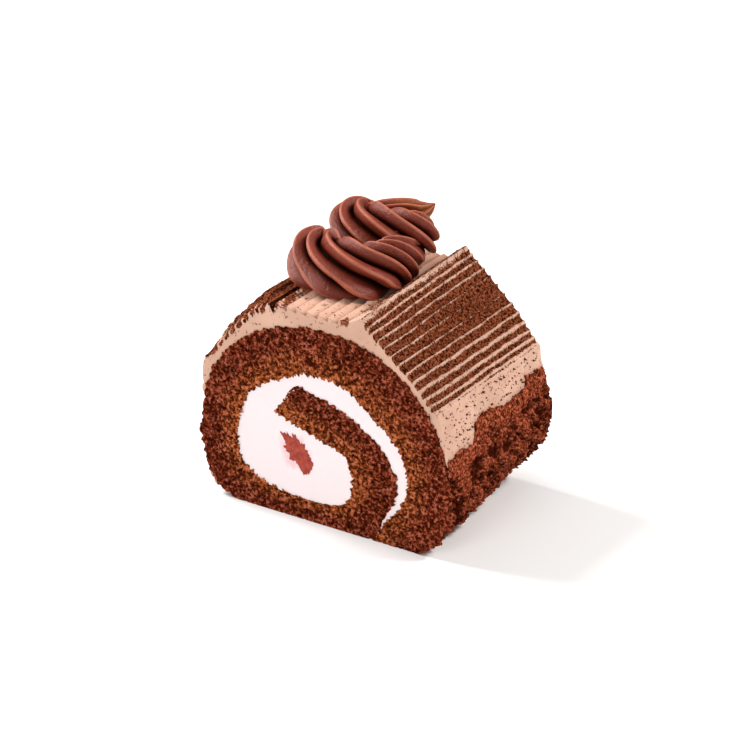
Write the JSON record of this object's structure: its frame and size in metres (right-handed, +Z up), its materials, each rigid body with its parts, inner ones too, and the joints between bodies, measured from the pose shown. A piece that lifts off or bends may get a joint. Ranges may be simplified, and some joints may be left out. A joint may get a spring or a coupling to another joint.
{
  "type": "swiss roll cake slice",
  "caption": "Slice of cocoa swiss roll with milk cream and a strawberry core, a combed chocolate cream coat dusted with cocoa, and a piped chocolate swirl on top.",
  "frame": {"origin": "on the table under the middle of the slice", "axes": "+X across the cut face, -Y out of the cut face that shows the spiral, +Z up"},
  "size_m": [0.0799, 0.052, 0.0794],
  "materials": {
    "cocoa_sponge": "open, dry cocoa crumb",
    "milk_cream": "soft satin whipped cream",
    "strawberry_sauce": "wet, slightly clear sauce",
    "chocolate_cream": "satin cream with fine brown specks and cocoa powder on its combed top",
    "piped_chocolate": "soft sheen, ribbed by a star nozzle"
  },
  "bodies": {
    "root": {"sponge": "cocoa_sponge", "milk_cream": "milk_cream", "strawberry_sauce": "strawberry_sauce", "choco_coat": "chocolate_cream", "piped_swirl": "piped_chocolate"}
  },
  "joints": []
}
